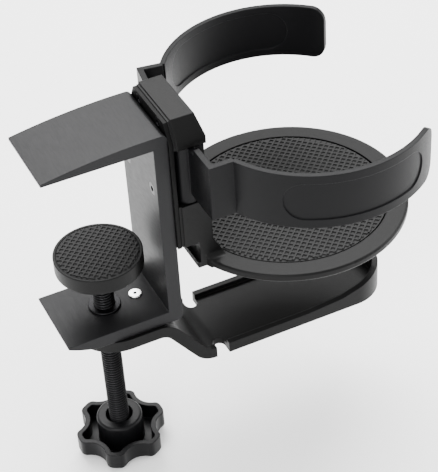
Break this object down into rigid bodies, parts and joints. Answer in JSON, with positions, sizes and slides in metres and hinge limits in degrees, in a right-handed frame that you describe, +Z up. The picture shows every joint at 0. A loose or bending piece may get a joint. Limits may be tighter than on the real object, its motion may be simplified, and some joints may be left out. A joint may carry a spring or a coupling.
{
  "type": "desk clamp cup holder",
  "caption": "Cup holder on a C-shaped desk clamp with a star-knob screw: a round tray below a pair of curved swinging arms, and a trough hook for headphones underneath.",
  "frame": {"origin": "inner corner of the clamp: underside of the top arm at the desk side of the column, on the mid-plane", "axes": "+X from the desk edge out to the cup, +Y across the clamp, +Z up"},
  "size_m": [0.1447, 0.1124, 0.1553],
  "materials": {
    "bracket_metal": "black anodised, satin",
    "plate_metal": "black coated",
    "dark_steel": "black oxide steel",
    "bright_rivet": "bright",
    "black_plastic": "fine satin",
    "arm_plastic": "fine satin",
    "knob_plastic": "fine satin",
    "washer_plastic": "smooth",
    "black_rubber": "gridded matte"
  },
  "bodies": {
    "frame": {"clamp_bracket": "bracket_metal", "screw_bush": "dark_steel", "bush_ring": "dark_steel", "hook_rivet": "bright_rivet", "headphone_hook": "black_plastic", "back_plate": "plate_metal", "housing_cap": "black_plastic", "cup_tray": "black_plastic", "tray_mat": "black_rubber", "pivot_pin_right": "dark_steel", "pivot_pin_left": "dark_steel", "pivot_washer_right": "washer_plastic", "pivot_washer_left": "washer_plastic", "bracket_screw_right": "dark_steel", "bracket_screw_left": "dark_steel", "plate_screw_1": "dark_steel", "plate_screw_2": "dark_steel", "plate_screw_3": "dark_steel", "plate_screw_4": "dark_steel"},
    "arm_right": {"arm_right": "arm_plastic"},
    "arm_left": {"arm_left": "arm_plastic"},
    "screw": {"clamp_screw": "dark_steel", "knob": "knob_plastic", "knob_nut": "dark_steel"},
    "thrust_washer": {"pad_washer": "dark_steel"},
    "pad": {"pad_body": "black_plastic", "pad_mat": "black_rubber"}
  },
  "joints": [
    {"name": "pad_lift", "type": "slide", "parent": "frame", "child": "thrust_washer", "axis": [0, 0, 1], "range_m": [-0.0105, 0.043]},
    {"name": "screw_turn", "type": "hinge", "parent": "thrust_washer", "child": "screw", "pos_m": [-0.0194, 0, -0.0615], "axis": [0, 0, 1], "range_deg": [-3024, 12384]},
    {"name": "pad_tilt", "type": "hinge", "parent": "thrust_washer", "child": "pad", "pos_m": [-0.0194, 0, -0.0542], "axis": [0, 1, 0], "range_deg": [-6, 6]},
    {"name": "arm_right_swing", "type": "hinge", "parent": "frame", "child": "arm_right", "pos_m": [0.0122, -0.0129, 0], "axis": [0, 0, 1], "range_deg": [-8, 26]},
    {"name": "arm_left_swing", "type": "hinge", "parent": "frame", "child": "arm_left", "pos_m": [0.0122, 0.0129, 0], "axis": [0, 0, -1], "range_deg": [-17, 17]}
  ],
  "couplings": [
    {"joint": "screw_turn", "follows": "pad_lift", "rad_per_m": 5026.5}
  ]
}
